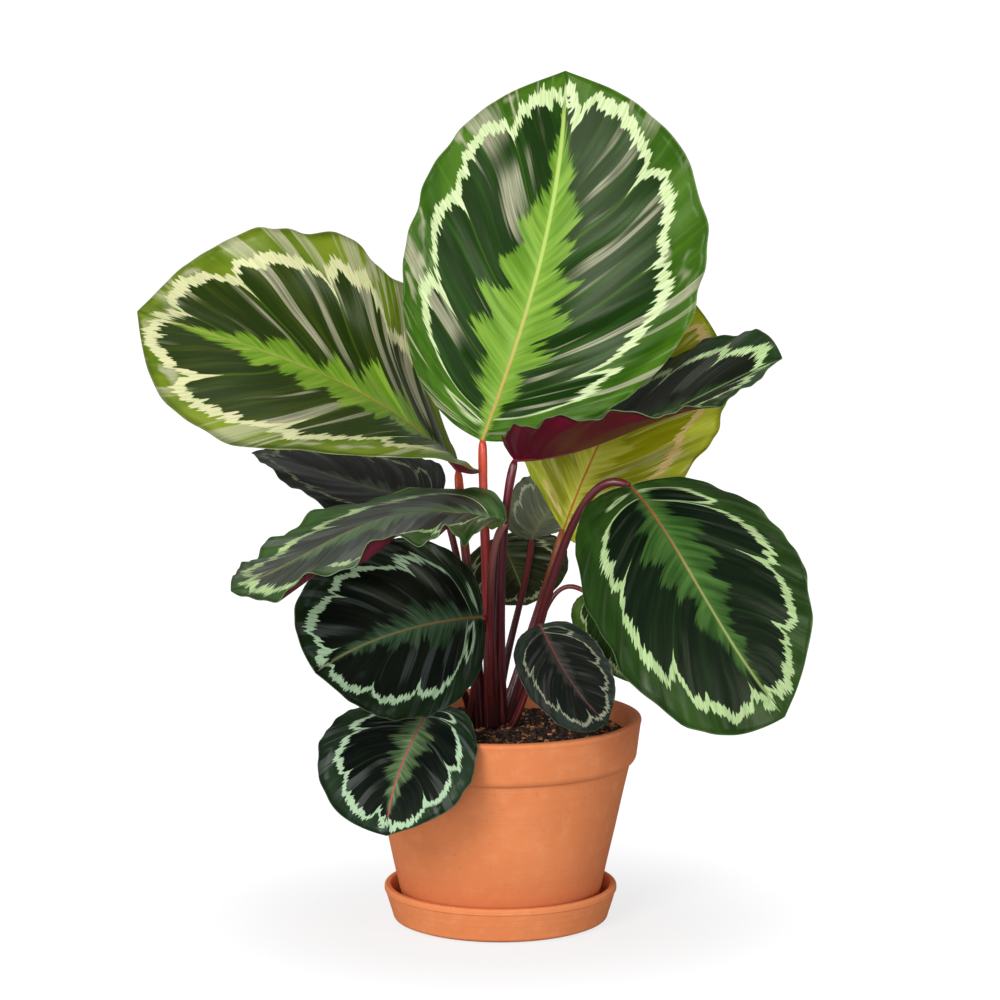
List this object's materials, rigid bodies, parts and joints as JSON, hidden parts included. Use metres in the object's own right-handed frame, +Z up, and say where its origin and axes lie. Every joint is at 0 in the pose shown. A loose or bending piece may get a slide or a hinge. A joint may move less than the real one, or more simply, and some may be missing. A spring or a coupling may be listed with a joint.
{
  "type": "potted calathea",
  "caption": "Leafy houseplant with patterned round leaves on thin red stalks, in a round terracotta pot on a saucer.",
  "frame": {"origin": "centre of the saucer's flat underside", "axes": "+Z up through the pot; the leaves show their upper faces towards -Y"},
  "size_m": [0.3728, 0.2413, 0.481],
  "materials": {
    "terracotta": "matt unglazed fired clay",
    "soil": "damp crumbly potting mix",
    "blade_green": "glossy leaf with a pale feathered pattern",
    "blade_olive": "glossy yellow-olive leaf with a pale feathered pattern",
    "blade_dark": "glossy dark leaf with a pale ring and a burgundy underside",
    "stalk": "smooth burgundy stem"
  },
  "bodies": {
    "root": {"saucer": "terracotta", "pot": "terracotta", "soil": "soil", "leaf_a_blade": "blade_green", "leaf_b_blade": "blade_green", "leaf_c_blade": "blade_dark", "leaf_d_blade": "blade_olive", "leaf_e_blade": "blade_dark", "leaf_f_blade": "blade_green", "leaf_g_blade": "blade_dark", "leaf_h_blade": "blade_dark", "leaf_i_blade": "blade_dark", "leaf_j_blade": "blade_dark", "leaf_k_blade": "blade_dark", "leaf_l_blade": "blade_dark", "leaf_m_blade": "blade_green", "leaf_a_stalk": "stalk", "leaf_b_stalk": "stalk", "leaf_c_stalk": "stalk", "leaf_d_stalk": "stalk", "leaf_e_stalk": "stalk", "leaf_f_stalk": "stalk", "leaf_g_stalk": "stalk", "leaf_h_stalk": "stalk", "leaf_i_stalk": "stalk", "leaf_j_stalk": "stalk", "leaf_k_stalk": "stalk", "leaf_l_stalk": "stalk", "leaf_m_stalk": "stalk"}
  },
  "joints": []
}
